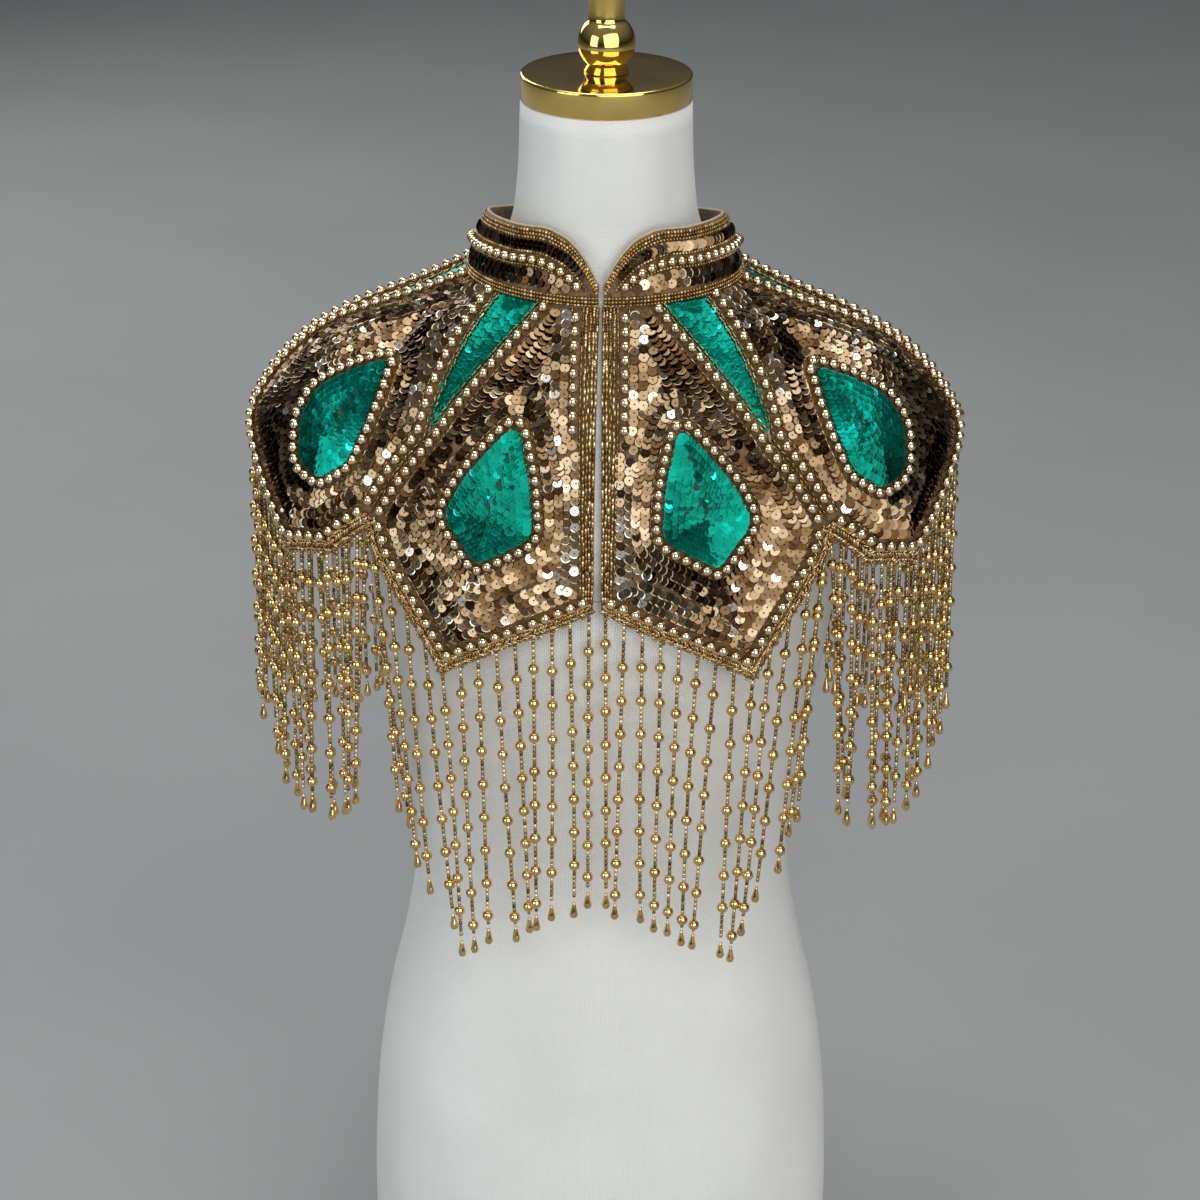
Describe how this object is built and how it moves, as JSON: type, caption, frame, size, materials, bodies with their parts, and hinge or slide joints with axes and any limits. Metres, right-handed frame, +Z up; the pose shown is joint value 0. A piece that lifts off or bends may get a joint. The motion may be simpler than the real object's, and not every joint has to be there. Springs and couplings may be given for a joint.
{
  "type": "beaded capelet on a dress form",
  "caption": "Sequinned capelet with a stand collar, petal panels, green rays and drops and a long beaded fringe, standing on a limbless dress form.",
  "frame": {"origin": "middle of the bounding box in plan, at the foot of the dress form", "axes": "+Z up, the front opening faces -Y, +X is the wearer's left"},
  "size_m": [0.4472, 0.2404, 0.934],
  "materials": {
    "form_linen": "off-white fine linen, matt",
    "form_brass": "polished yellow gold plate",
    "champagne_sequins": "net worked all over with champagne metallic sequins, with bead rows at the edges",
    "emerald_sequins": "net worked with emerald green sequins, iridescent",
    "fringe_beads": "gold metallised beads and bugles on thread"
  },
  "bodies": {
    "root": {"form_torso": "form_linen", "form_neck_cap": "form_brass", "form_finial": "form_brass", "panel_back": "champagne_sequins", "collar": "champagne_sequins", "drop_back": "emerald_sequins", "fringe_back": "fringe_beads", "panel_front_left": "champagne_sequins", "panel_front_right": "champagne_sequins", "panel_shoulder_left": "champagne_sequins", "panel_shoulder_right": "champagne_sequins", "panel_shoulder_back_left": "champagne_sequins", "panel_shoulder_back_right": "champagne_sequins", "ray_front_left": "emerald_sequins", "ray_front_right": "emerald_sequins", "ray_shoulder_left": "emerald_sequins", "ray_shoulder_right": "emerald_sequins", "ray_back_left": "emerald_sequins", "ray_back_right": "emerald_sequins", "drop_front_left": "emerald_sequins", "drop_front_right": "emerald_sequins", "drop_shoulder_left": "emerald_sequins", "drop_shoulder_right": "emerald_sequins", "drop_shoulder_back_left": "emerald_sequins", "drop_shoulder_back_right": "emerald_sequins", "fringe_front_left": "fringe_beads", "fringe_front_right": "fringe_beads", "fringe_shoulder_left": "fringe_beads", "fringe_shoulder_right": "fringe_beads", "fringe_shoulder_back_left": "fringe_beads", "fringe_shoulder_back_right": "fringe_beads"}
  },
  "joints": []
}
